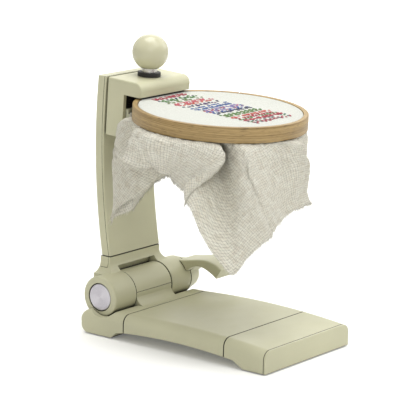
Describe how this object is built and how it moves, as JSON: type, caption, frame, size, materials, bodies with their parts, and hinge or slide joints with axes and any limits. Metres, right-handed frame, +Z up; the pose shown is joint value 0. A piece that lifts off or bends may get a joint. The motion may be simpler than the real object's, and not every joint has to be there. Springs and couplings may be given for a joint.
{
  "type": "embroidery hoop on stand",
  "caption": "Wooden embroidery hoop with stretched and hanging linen, held by a screw clamp on a hinged column that stands on a low arched base.",
  "frame": {"origin": "on the table straight under the middle of the hinge axis, in the plane of the foot pads", "axes": "+X along the hinge axis towards the lock lever, -Y towards the nose of the base, +Z up"},
  "size_m": [0.1987, 0.265, 0.3283],
  "materials": {
    "green_plastic": "satin moulded sage green",
    "pale_green_plastic": "satin moulded pale green",
    "knob_plastic": "glossy moulded pale green",
    "zinc_steel": "zinc plated, satin",
    "brushed_aluminium": "turned and brushed",
    "polished_steel": "polished",
    "black_plastic": "fine matt",
    "black_rubber": "matt",
    "brass": "satin",
    "beech": "sanded and oiled",
    "stitched_linen": "plain weave, stretched, with stitched rows",
    "linen": "plain weave with frayed edges"
  },
  "bodies": {
    "base": {"hinge_block": "green_plastic", "barrel_cover": "green_plastic", "barrel_core": "zinc_steel", "deck_shell": "green_plastic", "under_cover": "green_plastic", "nose_shell": "green_plastic", "end_cap": "green_plastic", "base_spine": "zinc_steel", "spine_screws": "zinc_steel", "rear_pad": "black_rubber", "front_pad": "black_rubber", "hinge_pin": "zinc_steel", "pin_cap": "brushed_aluminium"},
    "arm": {"fork": "green_plastic", "fork_screws": "zinc_steel", "fork_rear_cover": "green_plastic", "friction_washers": "black_plastic", "knuckle_bushes": "brass", "column_rear_shell": "green_plastic", "column_front_plate": "green_plastic", "column_spine": "zinc_steel", "head_screws": "zinc_steel", "head_spacer": "green_plastic", "clamp_head": "green_plastic", "upper_pad": "black_rubber", "throat_liner": "black_plastic", "screw_bush": "brass"},
    "lever": {"lock_lever": "green_plastic", "lever_insert": "brass", "lever_plug": "green_plastic", "thrust_washer": "black_plastic"},
    "knob": {"clamp_screw": "zinc_steel", "retaining_ring": "zinc_steel", "knob_washer": "black_plastic", "knob_collar": "polished_steel", "knob_insert": "brass", "ball_knob": "knob_plastic"},
    "jaw": {"lower_jaw": "pale_green_plastic", "jaw_nut": "brass", "lower_pad": "black_rubber"},
    "hoop": {"outer_ring": "beech", "inner_ring": "beech", "cloth_drum": "stitched_linen", "cloth_drape": "linen", "bracket_a": "brass", "bracket_b": "brass", "hoop_rivets": "brass", "barrel_nut": "brass"},
    "hoop_screw": {"tension_screw": "brass"}
  },
  "joints": [
    {"name": "arm_fold", "type": "hinge", "parent": "base", "child": "arm", "pos_m": [0, 0, 0.041], "axis": [1, 0, 0], "range_deg": [-30, 50], "deforming": ["cloth_drape"]},
    {"name": "lever_turn", "type": "hinge", "parent": "base", "child": "lever", "pos_m": [0.08, 0, 0.041], "axis": [1, 0, 0], "range_deg": [-100, 0]},
    {"name": "knob_turn", "type": "hinge", "parent": "arm", "child": "knob", "pos_m": [0, -0.01147, 0.2818], "axis": [0, -0.0558, 0.9984], "range_deg": [0, 1985]},
    {"name": "jaw_slide", "type": "slide", "parent": "arm", "child": "jaw", "axis": [0, 0.0558, -0.9984], "range_m": [0, 0.011]},
    {"name": "hoop_slide", "type": "slide", "parent": "arm", "child": "hoop", "axis": [0, -0.9984, -0.0558], "range_m": [0, 0.09]},
    {"name": "hoop_screw_turn", "type": "hinge", "parent": "hoop", "child": "hoop_screw", "pos_m": [0.09244, -0.06828, 0.25198], "axis": [-0.4226, 0.9049, 0.0506], "range_deg": [-1080, 360]}
  ],
  "couplings": [
    {"joint": "knob_turn", "follows": "jaw_slide", "rad_per_m": 3141.6}
  ]
}
